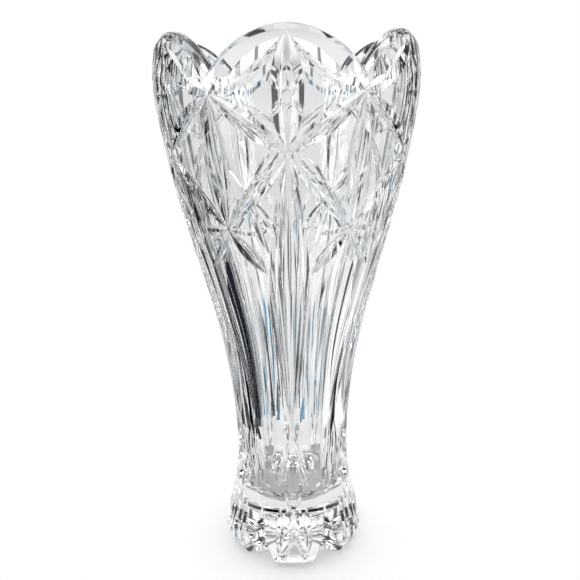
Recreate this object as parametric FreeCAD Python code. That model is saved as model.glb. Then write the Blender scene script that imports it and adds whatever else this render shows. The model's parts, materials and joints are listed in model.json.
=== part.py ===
"""Footed crystal vase: one piece of glass with a scalloped rim and a leaf-and-star cut pattern.

Millimetres, +Z up. The origin is the middle of the flat face that the vase stands on.
Azimuth 0 looks at the front of the vase, towards -Y, and grows towards +X.
"""
import FreeCAD
import Part
import math
import os

from FreeCAD import Vector

# ---- driving dimensions -------------------------------------------------------------------
HEIGHT = 254.0              # table to the tips of the rim's scallops
SCALLOPS = 6                # rim scallops, and the same number of foot lobes
SCALLOP_PITCH = 360.0 / SCALLOPS
SCALLOP_DEPTH = 15.1        # tip of a scallop to the valley beside it
RIM_RADIUS = 56.2           # outside, at the scallop tips
FOOT_RADIUS = 37.0          # widest part of the foot
FOOT_CORNER = 7.6           # rounding between the foot's side and its underside
WALL = 6.2                  # glass between the cuts, at the rim
CAVITY_FLOOR = 27.0         # height of the cavity's floor: the solid glass base below it
CAVITY_FLOOR_RADIUS = 12.0  # flat part of that floor

# Outside of the bell and stem above the foot's bulge: (height, radius)
BODY_OUTLINE = [
    (24.0, 32.8),
    (62.0, 29.2),
    (90.0, 31.0),
    (115.0, 34.6),
    (140.0, 40.2),
    (165.0, 46.5),
    (190.0, 52.4),
    (215.0, 56.8),
    (238.0, 58.8),
]
# Inside of the cavity, from its rounded floor corner up: (height, radius)
CAVITY_OUTLINE = [
    (40.0, 20.6),
    (62.0, 22.0),
    (90.0, 24.0),
    (115.0, 27.6),
    (140.0, 33.4),
    (165.0, 39.8),
    (190.0, 45.8),
    (215.0, 50.4),
    (238.0, 52.4),
]

# Points of the cut pattern on the outside: (azimuth in degrees, height)
TIP = (0.0, 252.0)
RIM_STAR = (30.0, 230.5)
UPPER_STAR = (0.0, 207.7)
LOWER_STAR = (30.0, 177.4)
STEM_CROSS = (0.0, 74.3)

# Leaf cuts: start, end, height of the deepest point, depth there, half width there
LEAVES = [
    (TIP, UPPER_STAR, 233.0, 2.8, 6.2),
    (RIM_STAR, LOWER_STAR, 206.0, 2.6, 4.2),
    (UPPER_STAR, STEM_CROSS, 128.0, 2.8, 10.0),
    (LOWER_STAR, (30.0, 43.0), 112.0, 2.8, 8.6),
    (STEM_CROSS, (0.0, 26.0), 50.0, 1.6, 5.6),
]
# These have a mirror image in the same scallop
PAIRED_LEAVES = [
    ((2.0, 249.0), (23.0, 231.5), 240.3, 2.2, 4.0),
    (RIM_STAR, (15.0, 235.5), 233.0, 2.2, 3.6),
    (RIM_STAR, UPPER_STAR, 219.1, 2.9, 3.6),
    (UPPER_STAR, LOWER_STAR, 192.5, 2.6, 3.8),
    (LOWER_STAR, (11.5, 158.0), 167.7, 2.0, 3.5),
]

# V notches between the foot's lobes
NOTCH_HALF_ANGLE = 45.0
NOTCH_FACE_RADIUS = 24.4    # bottom of the notch at the face
NOTCH_STEM_RADIUS = 31.0    # bottom of the notch above the foot's bulge
NOTCH_BEND_HEIGHT = 13.0
NOTCH_TOP = 44.0

# Star ground into the face under the foot
BASE_RAYS = 12
RAY_REACH = 26.5            # radius of its points
RAY_DEEPEST_AT = 18.5       # radius of the deepest point of each ray
RAY_DEPTH = 0.9
RAY_SPREAD = 3.0            # half a ray's width for each millimetre of depth

OVERRUN = 4.0               # how far cutters run past the glass

FACE_RADIUS = FOOT_RADIUS - FOOT_CORNER     # flat face under the foot


def spline(points):
    curve = Part.BSplineCurve()
    curve.interpolate(points)
    return curve


def outline_point(height, radius):
    return Vector(radius, 0, height)


BULGE = outline_point(FOOT_CORNER, FOOT_RADIUS)
RIM_OUTSIDE = outline_point(HEIGHT, RIM_RADIUS)
OUTSIDE = spline([BULGE, *[outline_point(*station) for station in BODY_OUTLINE], RIM_OUTSIDE])


def radius_at(height):
    """Outside radius of the uncut vase, above the foot's bulge."""
    level = Part.Line(outline_point(height, 0), outline_point(height, 1))
    return OUTSIDE.intersect(level)[0].X


def around(azimuth, radius, height):
    angle = math.radians(azimuth)
    return Vector(radius * math.sin(angle), -radius * math.cos(angle), height)


def on_surface(azimuth, height, depth=0.0):
    return around(azimuth, radius_at(height) - depth, height)


def turned(shape, azimuth):
    copy = shape.copy()
    copy.rotate(Vector(0, 0, 0), Vector(0, 0, 1), azimuth)
    return copy


def all_round(shape):
    return [turned(shape, SCALLOP_PITCH * step) for step in range(SCALLOPS)]


def blank():
    """The vase before it is cut: foot, stem and bell turned about Z, with its cavity."""
    face_centre = Vector(0, 0, 0)
    face_edge = outline_point(0, FACE_RADIUS)
    diagonal = FOOT_CORNER * math.sqrt(0.5)
    corner_middle = outline_point(FOOT_CORNER - diagonal, FACE_RADIUS + diagonal)
    rim_inside = outline_point(HEIGHT, RIM_RADIUS - WALL)
    cavity = [outline_point(*station) for station in reversed(CAVITY_OUTLINE)]
    floor_curve = outline_point(CAVITY_FLOOR + 3.4, CAVITY_FLOOR_RADIUS + 6.2)
    floor_edge = outline_point(CAVITY_FLOOR, CAVITY_FLOOR_RADIUS)
    floor_centre = outline_point(CAVITY_FLOOR, 0)
    edges = [
        Part.makeLine(face_centre, face_edge),
        Part.Arc(face_edge, corner_middle, BULGE).toShape(),
        OUTSIDE.toShape(),
        Part.makeLine(RIM_OUTSIDE, rim_inside),
        spline([rim_inside, *cavity]).toShape(),
        Part.Arc(cavity[-1], floor_curve, floor_edge).toShape(),
        Part.makeLine(floor_edge, floor_centre),
        Part.makeLine(floor_centre, face_centre),
    ]
    profile = Part.Face(Part.Wire(edges))
    return profile.revolve(Vector(0, 0, 0), Vector(0, 0, 1), 360)


def scallop_waste():
    """What is ground off above one scallop's arc, inside that scallop's own wedge."""
    half_pitch = math.radians(SCALLOP_PITCH / 2)
    half_width = RIM_RADIUS * math.sin(half_pitch)
    valley = HEIGHT - SCALLOP_DEPTH
    shoulder = half_width + OVERRUN
    far = 2 * RIM_RADIUS
    arc = Part.Arc(
        Vector(-half_width, 0, valley),
        Vector(0, 0, HEIGHT),
        Vector(half_width, 0, valley),
    )
    corners = [
        Vector(half_width, 0, valley),
        Vector(shoulder, 0, valley - OVERRUN),
        Vector(shoulder, 0, HEIGHT + OVERRUN),
        Vector(-shoulder, 0, HEIGHT + OVERRUN),
        Vector(-shoulder, 0, valley - OVERRUN),
        Vector(-half_width, 0, valley),
    ]
    outline = Part.Wire([arc.toShape(), *Part.makePolygon(corners).Edges])
    waste = Part.Face(outline).extrude(Vector(0, -far, 0))
    tip = Vector(0, 0, valley - 2 * OVERRUN)
    side = Vector(far * math.tan(half_pitch), -far, 0)
    other_side = Vector(-side.x, side.y, 0)
    triangle = Part.makePolygon([tip, tip + side, tip + other_side, tip])
    wedge = Part.Face(triangle).extrude(Vector(0, 0, 2 * SCALLOP_DEPTH + 4 * OVERRUN))
    return waste.common(wedge)


def v_section(bottom, outward, sideways, height, half_angle):
    """Triangle with its point at the bottom of a groove, open towards the outside."""
    spread = sideways * (height * math.tan(half_angle))
    left = bottom + outward * height + spread
    right = bottom + outward * height - spread
    return Part.Face(Part.makePolygon([bottom, left, right, bottom]))


def leaf_cut(start, end, deepest_height, depth, half_width):
    """V groove of a mitre wheel, which leaves the glass at both ends of the leaf."""
    first = on_surface(*start)
    last = on_surface(*end)
    share = (deepest_height - start[1]) / (end[1] - start[1])
    chord = first + (last - first) * share
    azimuth = math.degrees(math.atan2(chord.x, -chord.y))
    bottom = on_surface(azimuth, deepest_height, depth)
    wheel = Part.Arc(first, bottom, last).toShape().Curve
    # the glass curves away on both sides of the leaf, which makes a flat V wider
    upright = (last - first).normalize().z
    fall = (half_width * upright) ** 2 / (2 * radius_at(deepest_height))
    half_angle = math.atan2(half_width, depth - fall)
    axis = (last - wheel.Center).cross(first - wheel.Center)
    axis.normalize()
    spare = math.degrees(OVERRUN / wheel.Radius)
    sweep = math.degrees((first - wheel.Center).getAngle(last - wheel.Center))
    to_centre = (wheel.Center - last).normalize()
    section = v_section(last, to_centre, axis, 2 * depth + OVERRUN, half_angle)
    section.rotate(wheel.Center, axis, -spare)
    return section.revolve(wheel.Center, axis, sweep + 2 * spare)


def mirrored(leaf):
    start, end, *sizes = leaf
    return ((-start[0], start[1]), (-end[0], end[1]), *sizes)


def notch_run(bottom, top):
    """Straight V groove from one point of a notch's bottom line to the next."""
    along = top - bottom
    outward = around(SCALLOP_PITCH / 2, 1, 0)
    sideways = outward.cross(along).normalize()
    section = v_section(bottom, outward, sideways, FOOT_RADIUS, math.radians(NOTCH_HALF_ANGLE))
    return section.extrude(along)


def notch_cuts():
    """The notch between two lobes: one run up the foot's underside, one up its side."""
    middle = SCALLOP_PITCH / 2
    face = around(middle, NOTCH_FACE_RADIUS, 0)
    bend = around(middle, NOTCH_STEM_RADIUS, NOTCH_BEND_HEIGHT)
    below = face + (face - bend) * 0.5
    above = bend + (bend - face) * 0.7
    top = around(middle, NOTCH_STEM_RADIUS, NOTCH_TOP)
    return [notch_run(below, above), notch_run(bend, top)]


def base_ray(azimuth):
    """One ray of the star under the foot: a shallow V that tapers to a point at both ends."""
    inner = around(azimuth, RAY_REACH - 2 * (RAY_REACH - RAY_DEEPEST_AT), 0)
    outer = around(azimuth, RAY_REACH, 0)
    middle = around(azimuth, RAY_DEEPEST_AT, 0)
    sideways = around(azimuth + 90, RAY_DEPTH * RAY_SPREAD, 0)
    top = middle + Vector(0, 0, RAY_DEPTH)
    corners = [inner, middle + sideways, outer, middle - sideways]
    walls = []
    for here, there in zip(corners, corners[1:] + corners[:1]):
        walls.append(Part.Face(Part.makePolygon([here, there, top, here])))
    face = Part.Face(Part.makePolygon([*corners, inner]))
    return Part.Solid(Part.Shell([face, *walls]))


def vase_body():
    cuts = [scallop_waste(), *notch_cuts()]
    cuts += [leaf_cut(*leaf) for leaf in LEAVES]
    for leaf in PAIRED_LEAVES:
        cuts.append(leaf_cut(*leaf))
        cuts.append(leaf_cut(*mirrored(leaf)))
    glass = blank().cut([copy for cut in cuts for copy in all_round(cut)])
    return glass.cut([base_ray(360.0 * (ray + 0.5) / BASE_RAYS) for ray in range(BASE_RAYS)])


os.makedirs("parts", exist_ok=True)
body = vase_body()
body.exportStep("parts/vase_body.step")
print("valid", body.isValid(), "volume", round(body.Volume), "faces", len(body.Faces))
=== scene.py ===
"""Footed cut crystal vase in clear glass: one lathe-turned blank, ground with leaf and star cuts.

Metres in Blender. The sizes of the vase are kept in millimetres, as (height, radius) or as
(azimuth, height) on its outside. Azimuth 0 is the front, towards -Y, and grows towards +X.
"""
import json
import math

import bmesh
import bpy
import numpy as np
from mathutils import Matrix, Vector

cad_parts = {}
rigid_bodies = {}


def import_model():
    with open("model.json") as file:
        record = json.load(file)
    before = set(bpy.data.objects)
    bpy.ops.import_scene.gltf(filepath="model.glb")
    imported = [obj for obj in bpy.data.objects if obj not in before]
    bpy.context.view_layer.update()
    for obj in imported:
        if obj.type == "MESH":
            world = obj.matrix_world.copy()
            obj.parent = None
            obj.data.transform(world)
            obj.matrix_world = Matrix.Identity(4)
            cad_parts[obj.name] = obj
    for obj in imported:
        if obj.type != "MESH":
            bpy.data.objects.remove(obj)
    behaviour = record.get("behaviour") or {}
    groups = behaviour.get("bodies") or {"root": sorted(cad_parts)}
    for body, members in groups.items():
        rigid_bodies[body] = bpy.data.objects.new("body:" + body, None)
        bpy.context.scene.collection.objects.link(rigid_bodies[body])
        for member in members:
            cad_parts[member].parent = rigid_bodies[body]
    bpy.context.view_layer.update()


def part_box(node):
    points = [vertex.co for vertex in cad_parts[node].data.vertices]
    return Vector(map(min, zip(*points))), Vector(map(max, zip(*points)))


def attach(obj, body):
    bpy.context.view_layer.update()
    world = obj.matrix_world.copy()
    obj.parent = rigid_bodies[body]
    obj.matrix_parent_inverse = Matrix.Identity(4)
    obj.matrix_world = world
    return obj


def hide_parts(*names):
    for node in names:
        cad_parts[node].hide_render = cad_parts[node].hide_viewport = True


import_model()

# ---- sizes of the glass, the same as the CAD part's -------------------------------------------
MM = 0.001
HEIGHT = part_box("vase_body")[1][2] / MM
SCALLOPS = 6
PITCH = 360.0 / SCALLOPS
SCALLOP_DEPTH = 15.1
RIM_RADIUS = 56.2
RIM_WALL = 6.2
FOOT_RADIUS = 37.0
FOOT_CORNER = 7.6
FACE_RADIUS = FOOT_RADIUS - FOOT_CORNER
CAVITY_FLOOR = 27.0

BODY_OUTLINE = [
    (FOOT_CORNER, FOOT_RADIUS), (24.0, 32.8), (62.0, 29.2), (90.0, 31.0), (115.0, 34.6),
    (140.0, 40.2), (165.0, 46.5), (190.0, 52.4), (215.0, 56.8), (238.0, 58.8),
    (HEIGHT, RIM_RADIUS),
]
CAVITY_OUTLINE = [
    (40.0, 20.6), (62.0, 22.0), (90.0, 24.0), (115.0, 27.6), (140.0, 33.4), (165.0, 39.8),
    (190.0, 45.8), (215.0, 50.4), (238.0, 52.4), (HEIGHT, RIM_RADIUS - RIM_WALL),
]

# ---- corners of the glass, softer than the CAD part's ------------------------------------------
# The cavity's floor rises into its wall along a curve. These are (radius, height) of the point
# where it starts and of the corner that it bends towards.
FLOOR_EDGE = (8.0, CAVITY_FLOOR)
FLOOR_CORNER = (20.2, 27.6)

# The rim's edge is rounded, between a narrow ground band on each side.
RIM_BAND = 2.6              # height of the outer band
RIM_BAND_INSET = 1.3        # its top is set in this far
RIM_INNER_BAND = 1.5        # the same on the cavity's side
RIM_INNER_INSET = 0.5
RIM_ROUNDING = 0.5          # height of the rounded edge

# ---- mesh ------------------------------------------------------------------------------------
COLUMNS = 240
SHRINK = 0.998              # radii drawn this much smaller, so the glass stays inside the CAD box
FACE_RINGS = (8.0, 16.0, 22.0, 26.0)    # radii of the rings under the foot
CORNER_RINGS = 17
ROW = 2.4                   # height of the outside's rows
CAVITY_ROW = 3.4
STRETCH_FROM = 200.0        # rows above this height follow the scallops
STRETCHED_ROWS = 22
STRETCHED_CAVITY_ROWS = 20
RIM_RINGS = 7
FLOOR_RINGS = 14
FLOOR_MIDDLE = 4.0          # radius of the last ring on the cavity's floor
SHARP_ANGLE = 7.0           # degrees between faces that meet in a crisp edge

GROOVE_STEP = 4.0           # length of a cutter's sections
FEWEST_STEPS = 8
GROOVE_OVERRUN = 0.04       # share of its length a cutter runs on past each end
GROOVE_RUN_OUT = 4.0        # how steeply it leaves the glass there, in depths for each length
GROOVE_LIFT = 1.2           # height of a cutter above the glass
EDGE_ROUNDING = 0.35        # radius of the worn edges between facets
POLISH_WAVES = 0.05         # height of the faint waves of the polish

# ---- foot ------------------------------------------------------------------------------------
NOTCH_SPREAD = 1.0          # half the notch's width for each millimetre of depth
NOTCH_RUNS = [              # (height, bottom radius) at both ends of each straight run
    ((-6.5, 21.1), (22.1, 35.55)),
    ((13.0, 31.0), (44.0, 31.0)),
]
BASE_RAYS = 12
RAY_REACH = 26.5
RAY_SPREAD = 5.0            # half the ray's width for each millimetre of depth
RAY_SECTIONS = [(0.08, 0.1), (0.7, 0.45), (1.0, 0.0)]   # (share of the reach, depth)
RAY_HANG = 1.0              # how far a ray's cutter hangs below the foot

# ---- points of the cut pattern: (azimuth, height) ---------------------------------------------
TIP = (0.0, 252.0)
RIM_STAR = (30.0, 230.5)
UPPER_STAR = (0.0, 207.7)
LOWER_STAR = (30.0, 177.4)
STEM_CROSS = (0.0, 74.3)


def through(stations):
    """Smooth curve through (height, value) stations: a natural cubic spline, as a function."""
    at = np.array([station[0] for station in stations])
    value = np.array([station[1] for station in stations])
    gap = np.diff(at)
    rows = np.eye(len(at))
    right = np.zeros(len(at))
    for i in range(1, len(at) - 1):
        rows[i, i - 1:i + 2] = gap[i - 1], 2 * (gap[i - 1] + gap[i]), gap[i]
        right[i] = 6 * ((value[i + 1] - value[i]) / gap[i] - (value[i] - value[i - 1]) / gap[i - 1])
    bend = np.linalg.solve(rows, right)

    def curve(x):
        i = np.clip(np.searchsorted(at, x) - 1, 0, len(gap) - 1)
        a = (at[i + 1] - x) / gap[i]
        b = (x - at[i]) / gap[i]
        cubic = (a ** 3 - a) * bend[i] + (b ** 3 - b) * bend[i + 1]
        return a * value[i] + b * value[i + 1] + cubic * gap[i] ** 2 / 6

    return curve


outside = through(BODY_OUTLINE)
cavity = through(CAVITY_OUTLINE)


def rim_height(azimuth):
    """Height of the scalloped edge: one arc of a circle over each scallop."""
    half_width = RIM_RADIUS * math.sin(math.radians(PITCH / 2))
    arc_radius = (half_width ** 2 + SCALLOP_DEPTH ** 2) / (2 * SCALLOP_DEPTH)
    local = (azimuth + PITCH / 2) % PITCH - PITCH / 2
    across = RIM_RADIUS * np.sin(np.radians(local))
    return HEIGHT - arc_radius + np.sqrt(arc_radius ** 2 - across ** 2)


def blank_rings(azimuths):
    """(radius, height) of each ring of the uncut glass: face, outside, rim, cavity."""
    rings = [(radius, 0.0) for radius in FACE_RINGS]
    for angle in np.linspace(0, math.pi / 2, CORNER_RINGS):
        rings.append((FACE_RADIUS + FOOT_CORNER * math.sin(angle), FOOT_CORNER * (1 - math.cos(angle))))
    rings += [(outside(z), z) for z in np.arange(FOOT_CORNER + ROW, STRETCH_FROM, ROW)]
    top = rim_height(azimuths)
    for share in np.linspace(0, 1, STRETCHED_ROWS):
        height = STRETCH_FROM + (top - RIM_BAND - STRETCH_FROM) * share
        rings.append((outside(height), height))
    edge_out = outside(top) - RIM_BAND_INSET
    edge_in = cavity(top) + RIM_INNER_INSET
    for angle in np.linspace(0, math.pi, RIM_RINGS):
        reach = (edge_out + edge_in) / 2 + (edge_out - edge_in) / 2 * math.cos(angle)
        rings.append((reach, top - RIM_ROUNDING * (1 - math.sin(angle))))
    for share in np.linspace(1, 0, STRETCHED_CAVITY_ROWS):
        height = STRETCH_FROM + (top - RIM_INNER_BAND - STRETCH_FROM) * share
        rings.append((cavity(height), height))
    floor_start = CAVITY_OUTLINE[0][0]
    rings += [(cavity(z), z) for z in np.arange(STRETCH_FROM - CAVITY_ROW, floor_start, -CAVITY_ROW)]
    wall_end = np.array([cavity(floor_start), floor_start])
    corner = np.array(FLOOR_CORNER)
    floor_edge = np.array(FLOOR_EDGE)
    for t in np.linspace(0, 1, FLOOR_RINGS):
        rings.append(tuple((1 - t) ** 2 * wall_end + 2 * t * (1 - t) * corner + t * t * floor_edge))
    rings.append((FLOOR_MIDDLE, CAVITY_FLOOR))
    return rings


def new_object(name, vertices, faces, collection=bpy.context.scene.collection):
    mesh = bpy.data.meshes.new(name)
    mesh.from_pydata((np.asarray(vertices) * MM).tolist(), [], faces)
    mesh.update()
    piece = bpy.data.objects.new(name, mesh)
    collection.objects.link(piece)
    return piece


def glass_blank():
    azimuths = np.arange(COLUMNS) * 360 / COLUMNS
    east = np.sin(np.radians(azimuths))
    south = -np.cos(np.radians(azimuths))
    rings = blank_rings(azimuths)
    vertices = [(0, 0, 0)]
    for radius, height in rings:
        height = np.broadcast_to(height, azimuths.shape)
        vertices += list(zip(SHRINK * radius * east, SHRINK * radius * south, height))
    vertices.append((0, 0, CAVITY_FLOOR))
    around = [(j, (j + 1) % COLUMNS) for j in range(COLUMNS)]
    faces = [(0, 1 + k, 1 + j) for j, k in around]
    for low in range(1, 1 + (len(rings) - 1) * COLUMNS, COLUMNS):
        high = low + COLUMNS
        faces += [(low + j, low + k, high + k, high + j) for j, k in around]
    last = len(vertices) - 1
    faces += [(last - COLUMNS + j, last - COLUMNS + k, last) for j, k in around]
    return new_object("cut_glass", vertices, faces)


# ---- cuts ------------------------------------------------------------------------------------
def on_surface(azimuth, height):
    """Point of the uncut outside and the direction straight out of it."""
    radius = float(outside(height))
    slope = float(outside(height + 0.5) - outside(height - 0.5))
    angle = math.radians(azimuth)
    out = Vector((math.sin(angle), -math.cos(angle), -slope)).normalized()
    return Vector((radius * math.sin(angle), -radius * math.cos(angle), height)), out


def prism(sections):
    """Closed three-sided bar through a row of (bottom, right, left) sections."""
    vertices = [corner for section in sections for corner in section]
    last = len(vertices) - 3
    faces = [(0, 1, 2), (last, last + 2, last + 1)]
    for a in range(0, last, 3):
        b = a + 3
        faces += [(a, b, b + 1, a + 1), (a + 1, b + 1, b + 2, a + 2), (a + 2, b + 2, b, a)]
    return vertices, faces


def groove(start, end, depth, spread, bow=0.0, skew=1.0, fullness=2.0, turn=0.0):
    """Cutter of one V groove that runs out of the glass at both ends.

    spread is half the groove's width for each millimetre of depth, bow bends it sideways by
    that many degrees, skew moves its deepest point towards the end, fullness fattens it.
    """
    length = (on_surface(*end)[0] - on_surface(*start)[0]).length
    steps = max(FEWEST_STEPS, round(length / GROOVE_STEP))
    path = []
    for t in np.linspace(-GROOVE_OVERRUN, 1 + GROOVE_OVERRUN, steps + 1):
        azimuth = start[0] + (end[0] - start[0]) * t + bow * 4 * t * (1 - t)
        height = start[1] + (end[1] - start[1]) * t
        inside = min(max(t, 0.0), 1.0)
        run_out = GROOVE_RUN_OUT * depth * abs(t - inside)
        below = depth * (1 - abs(2 * inside ** skew - 1) ** fullness) - run_out
        path.append((*on_surface(azimuth + turn, height), below))
    sections = []
    for i, (point, out, below) in enumerate(path):
        along = path[min(i + 1, steps)][0] - path[max(i - 1, 0)][0]
        side = out.cross(along).normalized()
        rise = max(below, 0) + GROOVE_LIFT
        bottom = point - out * below
        top = bottom + out * rise
        sections.append((bottom, top + side * rise * spread, top - side * rise * spread))
    return prism(sections)


def leaf(start, end, depth, half_width, lines=(), line_depth=1.0, line_spread=1.4, **shape):
    """A wide V leaf with slender lines ground along it, each at a share of the half width.

    The glass falls away on both sides of an upright leaf, so a V sized for flat glass would come
    out too narrow, and is spread more.
    """
    first, last = on_surface(*start)[0], on_surface(*end)[0]
    upright = (last - first).normalized().z
    middle_radius = float(outside((start[1] + end[1]) / 2))
    fall = (half_width * upright) ** 2 / (2 * middle_radius)
    spread = half_width / (depth - fall)
    cuts = [dict(start=start, end=end, depth=depth, spread=spread, **shape)]
    for share in lines:
        off = abs(share)
        floor_depth = depth * (1 - off) + fall * off * (1 - off)
        bow = math.degrees(share * half_width * upright / middle_radius)
        line = dict(start=start, end=end, depth=floor_depth + line_depth, spread=line_spread)
        cuts.append(dict(line, bow=bow, **shape))
    return cuts


def mirrored(cut):
    flipped = dict(cut, bow=-cut.get("bow", 0.0))
    for key in ("start", "end"):
        flipped[key] = (-cut[key][0], cut[key][1])
    return flipped


def pattern():
    """Every leaf and line of one scallop, with its front centre at azimuth 0."""
    crown_flutes = dict(lines=(-0.5, 0.5), line_depth=1.2, line_spread=1.6)
    stem_flutes = dict(lines=(-0.7, -0.35, 0.35, 0.7))
    arm = dict(lines=(-0.62, 0.62), line_depth=0.9)
    centred = [
        *leaf(TIP, UPPER_STAR, 2.0, 6.2, **crown_flutes),
        *leaf(RIM_STAR, LOWER_STAR, 1.8, 4.2, **arm),
        *leaf(UPPER_STAR, STEM_CROSS, 2.0, 9.0, **stem_flutes, skew=1.1),
        *leaf(LOWER_STAR, (30.0, 43.0), 2.8, 9.0, fullness=2.4),
        *leaf(STEM_CROSS, (0.0, 26.0), 1.4, 5.2, **arm),
    ]
    paired = [
        *leaf((2.0, 249.0), (23.0, 231.5), 2.2, 4.0),
        *leaf(RIM_STAR, (15.0, 235.5), 2.0, 3.4),
        *leaf(RIM_STAR, UPPER_STAR, 1.6, 4.2, **arm),
        *leaf(RIM_STAR, (24.0, 200.0), 0.9, 1.4),
        *leaf(UPPER_STAR, LOWER_STAR, 1.5, 4.0, **arm),
        *leaf(UPPER_STAR, (8.5, 170.0), 1.0, 1.5),
        *leaf((17.5, 190.0), (9.0, 166.5), 1.4, 2.6),
        *leaf(LOWER_STAR, (11.5, 158.0), 1.5, 3.5, **arm),
        *leaf(LOWER_STAR, (13.0, 176.0), 0.9, 1.5),
        *leaf(STEM_CROSS, (14.0, 42.0), 1.2, 2.4),
        *leaf((12.0, 34.0), (12.0, 6.0), 0.7, 2.2),
        *leaf((5.0, 36.0), (5.0, 9.0), 0.7, 2.2),
    ]
    return centred + paired + [mirrored(cut) for cut in paired]


def outward(azimuth):
    """Level unit vectors straight out of the vase and to the right, seen from outside."""
    angle = math.radians(azimuth)
    return Vector((math.sin(angle), -math.cos(angle), 0)), Vector((math.cos(angle), math.sin(angle), 0))


def base_ray(azimuth):
    """Cutter of one shallow ray of the star under the foot."""
    out, side = outward(azimuth)
    sections = []
    for share, depth in RAY_SECTIONS:
        below = out * RAY_REACH * share - Vector((0, 0, RAY_HANG))
        height = depth + RAY_HANG
        half = side * height * RAY_SPREAD
        sections.append((below + Vector((0, 0, height)), below + half, below - half))
    return prism(sections)


def notch(azimuth, low, high):
    """Cutter of a straight run of a foot notch between two (height, bottom radius) points."""
    out, side = outward(azimuth)
    half = side * FOOT_RADIUS * NOTCH_SPREAD
    sections = []
    for height, radius in (low, high):
        bottom = out * radius + Vector((0, 0, height))
        top = bottom + out * FOOT_RADIUS
        sections.append((bottom, top + half, top - half))
    return prism(sections)


def cutters():
    """Vertices and faces of every cutter, all round the vase."""
    for scallop in range(SCALLOPS):
        turn = PITCH * scallop
        for cut in pattern():
            yield groove(turn=turn, **cut)
        for low, high in NOTCH_RUNS:
            yield notch(turn + PITCH / 2, low, high)
    for ray in range(BASE_RAYS):
        yield base_ray(360.0 * (ray + 0.5) / BASE_RAYS)


def grind(piece):
    """Takes every cutter away from the glass."""
    tools = bpy.data.collections.new("tools")
    for number, (vertices, faces) in enumerate(cutters()):
        tool = new_object(f"tool_{number}", vertices, faces, tools)
        shape = bmesh.new()
        shape.from_mesh(tool.data)
        bmesh.ops.recalc_face_normals(shape, faces=shape.faces)
        bmesh.ops.triangulate(shape, faces=shape.faces)
        shape.to_mesh(tool.data)
        shape.free()
    cut = piece.modifiers.new("grind", "BOOLEAN")
    cut.operation = "DIFFERENCE"
    cut.solver = "MANIFOLD"
    cut.operand_type = "COLLECTION"
    cut.collection = tools
    evaluated = piece.evaluated_get(bpy.context.evaluated_depsgraph_get())
    ground = bpy.data.meshes.new_from_object(evaluated)
    piece.modifiers.clear()
    piece.data = ground
    for tool in list(tools.objects):
        bpy.data.meshes.remove(tool.data)
    bpy.data.collections.remove(tools)
    ground.materials.clear()
    ground.polygons.foreach_set("material_index", [0] * len(ground.polygons))
    ground.shade_smooth()
    ground.set_sharp_from_angle(angle=math.radians(SHARP_ANGLE))


# ---- materials -------------------------------------------------------------------------------
GLASS_TINT = (0.912, 0.918, 0.921, 1.0)
GLASS_INDEX = 1.54


def node(tree, kind, inputs, **settings):
    """New shader node; each input is given a value or another node's output."""
    made = tree.nodes.new("ShaderNode" + kind)
    for key, value in settings.items():
        setattr(made, key, value)
    for key, value in inputs.items():
        if isinstance(value, bpy.types.NodeSocket):
            tree.links.new(value, made.inputs[key])
        else:
            made.inputs[key].default_value = value
    return made


def mixed(tree, factor, first, second, blend="MIX"):
    """Colour mix; the node's colour sockets are its inputs 6 and 7 and its output 2."""
    made = node(tree, "Mix", {}, data_type="RGBA", blend_type=blend)
    for index, value in ((0, factor), (6, first), (7, second)):
        if isinstance(value, bpy.types.NodeSocket):
            tree.links.new(value, made.inputs[index])
        else:
            made.inputs[index].default_value = value
    return made.outputs[2]


def ramp(tree, position, stops, interpolation="LINEAR"):
    """Colour ramp through (position, colour) stops."""
    made = node(tree, "ValToRGB", {"Fac": position})
    made.color_ramp.interpolation = interpolation
    elements = made.color_ramp.elements
    elements.remove(elements[1])
    for at, colour in stops[1:]:
        elements.new(at).color = colour
    elements[0].position, elements[0].color = stops[0]
    return made.outputs["Color"]


def grey(level):
    return (level, level, level, 1.0)


def new_material(name):
    material = bpy.data.materials.new(name)
    material.use_nodes = True
    return material, material.node_tree, material.node_tree.nodes["Principled BSDF"]


def crystal():
    """Clear glass with softly worn edges and a faint wave, drawn out upright, in its polish."""
    material, tree, shader = new_material("crystal")
    shader.inputs["Base Color"].default_value = GLASS_TINT
    shader.inputs["Transmission Weight"].default_value = 1.0
    shader.inputs["Roughness"].default_value = 0.0
    shader.inputs["IOR"].default_value = GLASS_INDEX
    worn_edges = node(tree, "Bevel", {"Radius": EDGE_ROUNDING * MM}, samples=8)
    place = node(tree, "TexCoord", {}).outputs["Object"]
    drawn_out = node(tree, "Mapping", {"Vector": place, "Scale": (1.0, 1.0, 0.4)})
    waves = node(tree, "TexNoise", {"Vector": drawn_out.outputs[0], "Scale": 90.0, "Detail": 1.5})
    polish = {"Height": waves.outputs[0], "Normal": worn_edges.outputs[0], "Distance": POLISH_WAVES * MM}
    tree.links.new(node(tree, "Bump", polish).outputs[0], shader.inputs["Normal"])
    return material


glass = glass_blank()
grind(glass)
glass.data.materials.append(crystal())
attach(glass, "root")
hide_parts("vase_body")


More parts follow.
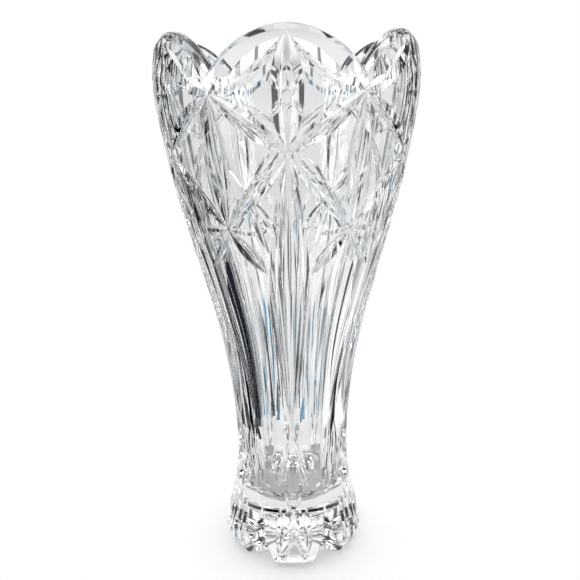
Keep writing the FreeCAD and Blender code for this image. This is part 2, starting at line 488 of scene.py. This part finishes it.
# ---- studio ----------------------------------------------------------------------------------
# Directions are degrees from straight behind the vase, + to the right; heights are the
# direction's own z, from -1 straight down to 1 straight up.
FLOOR_RADIUS = 110.0
FLOOR_GAP = 0.3             # the floor lies this far below the foot, so light gets between
SIDE_WALL = (0.64, 0.69, 0.73, 1.0)
WALLS = [                   # (direction, colour) all round the vase
    (-180, grey(0.35)), (-137, grey(0.3)), (-108, SIDE_WALL), (-72, SIDE_WALL), (-50, grey(1.1)),
    (84, grey(1.1)), (108, SIDE_WALL), (137, grey(0.3)), (180, grey(0.35)),
]
HEIGHTS = [                 # (height, brightness) of the room
    (-1.0, 0.8), (-0.75, 0.7), (-0.62, 1.25), (-0.48, 1.0), (-0.36, 1.05), (-0.22, 1.0),
    (-0.14, 0.82), (-0.05, 0.97), (0.06, 0.9), (0.13, 0.55), (0.2, 1.0), (0.35, 1.1), (0.5, 1.3),
    (0.6, 1.0), (0.65, 0.45), (0.7, 0.95), (0.82, 0.7), (1.0, 0.45),
]
BLACK_FLAG = (0.006, 0.01, 0.016, 1.0)
TEAL = (0.03, 0.18, 0.28, 1.0)
BLUE = (0.16, 0.34, 0.52, 1.0)
CARDS = [                   # (from, to, colour) of the strips hung behind and beside the vase
    (-92, -84, grey(0.3)), (-66, -60, BLACK_FLAG), (-50, -44, grey(0.05)), (-36, -32, grey(0.08)),
    (-24, -22, grey(0.1)), (-15, -14, grey(0.3)), (14, 15, grey(0.3)), (22, 24, grey(0.1)),
    (32, 36, grey(0.08)), (44, 49, TEAL), (60, 65, grey(0.01)), (84, 90, grey(0.2)),
]
LOW_CARDS = [               # the strips that reach down behind the stem
    (-150, -52, BLACK_FLAG), (-46, -38, grey(0.03)), (-31, -27, grey(0.1)), (-22, -19, grey(0.03)),
    (-14, -11, BLUE), (-7, -5, TEAL), (1, 3, BLUE), (7, 9.5, TEAL), (14, 17, grey(0.03)),
    (22, 26, grey(0.1)), (33, 38, grey(0.02)), (90, 96, grey(0.05)),
]
LOW_FROM = -0.3             # they are seen below this height
LOW_BLEND = 0.02            # and blend in over this height
CAMERA_WHITE = 1.0          # what the camera sees behind the vase
FLOOR_LIGHT = 1.18          # what lights the floor


def around_vase(direction):
    """Ramp position of a direction in degrees."""
    return direction / 360 + 0.5


def up_and_down(height):
    """Ramp position of a height."""
    return height / 2 + 0.5


def strips(cards):
    stops = [(0.0, grey(1.0))]
    for start, end, colour in cards:
        stops += [(around_vase(start), colour), (around_vase(end), grey(1.0))]
    return stops


def studio():
    """White to the camera; the glass itself sees walls, black flags and coloured strips."""
    world = bpy.data.worlds.new("studio")
    bpy.context.scene.world = world
    world.use_nodes = True
    tree = world.node_tree
    tree.nodes.clear()
    view_way = node(tree, "TexCoord", {}).outputs["Generated"]
    part = node(tree, "SeparateXYZ", {0: view_way}).outputs
    angle = node(tree, "Math", {0: part["X"], 1: part["Y"]}, operation="ARCTAN2").outputs[0]
    turned = {0: angle, 1: 0.5 / math.pi, 2: 0.5}
    turn = node(tree, "Math", turned, operation="MULTIPLY_ADD").outputs[0]
    raised = {0: part["Z"], 1: 0.5, 2: 0.5}
    height = node(tree, "Math", raised, operation="MULTIPLY_ADD").outputs[0]
    walls = ramp(tree, turn, [(around_vase(at), colour) for at, colour in WALLS])
    levels = ramp(tree, height, [(up_and_down(z), grey(level)) for z, level in HEIGHTS], "EASE")
    edge = [(up_and_down(LOW_FROM - LOW_BLEND), grey(1.0)), (up_and_down(LOW_FROM), grey(0.0))]
    low = ramp(tree, height, edge)
    high_cards = ramp(tree, turn, strips(CARDS), "CONSTANT")
    low_cards = ramp(tree, turn, strips(LOW_CARDS), "CONSTANT")
    cards = mixed(tree, low, high_cards, low_cards)
    room = mixed(tree, 1.0, mixed(tree, 1.0, walls, levels, "MULTIPLY"), cards, "MULTIPLY")
    ray = node(tree, "LightPath", {}).outputs
    lit = mixed(tree, ray["Is Diffuse Ray"], room, grey(FLOOR_LIGHT))
    seen = mixed(tree, ray["Is Camera Ray"], lit, grey(CAMERA_WHITE))
    sky = node(tree, "Background", {"Color": seen})
    node(tree, "OutputWorld", {"Surface": sky.outputs[0]})


def floor():
    corners = np.radians(np.arange(0, 360, 3))
    rim = FLOOR_RADIUS * np.stack([np.cos(corners), np.sin(corners), 0 * corners], axis=1)
    piece = new_object("floor", rim - (0, 0, FLOOR_GAP), [range(len(rim))])
    material, tree, shader = new_material("floor")
    shader.inputs["Roughness"].default_value = 0.9
    shader.inputs["Specular IOR Level"].default_value = 0.0
    place = node(tree, "TexCoord", {}).outputs["Object"]
    grain = node(tree, "TexNoise", {"Vector": place, "Scale": 300.0})
    paper = mixed(tree, grain.outputs["Fac"], grey(0.96), grey(0.98))
    tree.links.new(paper, shader.inputs["Base Color"])
    piece.data.materials.append(material)


def soft_box(name, azimuth, elevation, width, height, level):
    """A box of light a metre from the vase that only the glass sees; azimuth 0 is the front."""
    lamp = bpy.data.lights.new(name, "AREA")
    lamp.shape = "RECTANGLE"
    lamp.size = width
    lamp.size_y = height
    lamp.energy = level * math.pi * width * height
    light = bpy.data.objects.new(name, lamp)
    level_out, _ = outward(azimuth)
    rise = math.radians(elevation)
    away = level_out * math.cos(rise) + Vector((0, 0, math.sin(rise)))
    light.location = away + Vector((0, 0, HEIGHT / 2 * MM))
    light.rotation_euler = away.to_track_quat("Z", "Y").to_euler()
    light.visible_camera = False
    light.visible_diffuse = False
    bpy.context.scene.collection.objects.link(light)


studio()
floor()
soft_box("left", azimuth=-65, elevation=25, width=0.25, height=0.9, level=10)
soft_box("right", azimuth=60, elevation=30, width=0.2, height=0.9, level=10)
soft_box("high", azimuth=10, elevation=62, width=0.7, height=0.25, level=10)

# ---- camera ----------------------------------------------------------------------------------
CAMERA_PLACE = (0, -0.2859, 0.2282)
CAMERA_DOWN = 17.6
CAMERA_ROLL = -0.92
FOCAL_LENGTH = 37.51
lens = bpy.data.cameras.new("camera")
lens.lens = FOCAL_LENGTH
lens.clip_start = 0.01
camera = bpy.data.objects.new("camera", lens)
bpy.context.scene.collection.objects.link(camera)
tilt = Matrix.Rotation(math.radians(90 - CAMERA_DOWN), 4, "X")
roll = Matrix.Rotation(math.radians(CAMERA_ROLL), 4, "Z")
camera.matrix_world = Matrix.Translation(CAMERA_PLACE) @ tilt @ roll
bpy.context.scene.camera = camera
bpy.context.scene.view_settings.view_transform = "Standard"
bpy.context.scene.cycles.max_bounces = 24
bpy.context.scene.cycles.transmission_bounces = 24
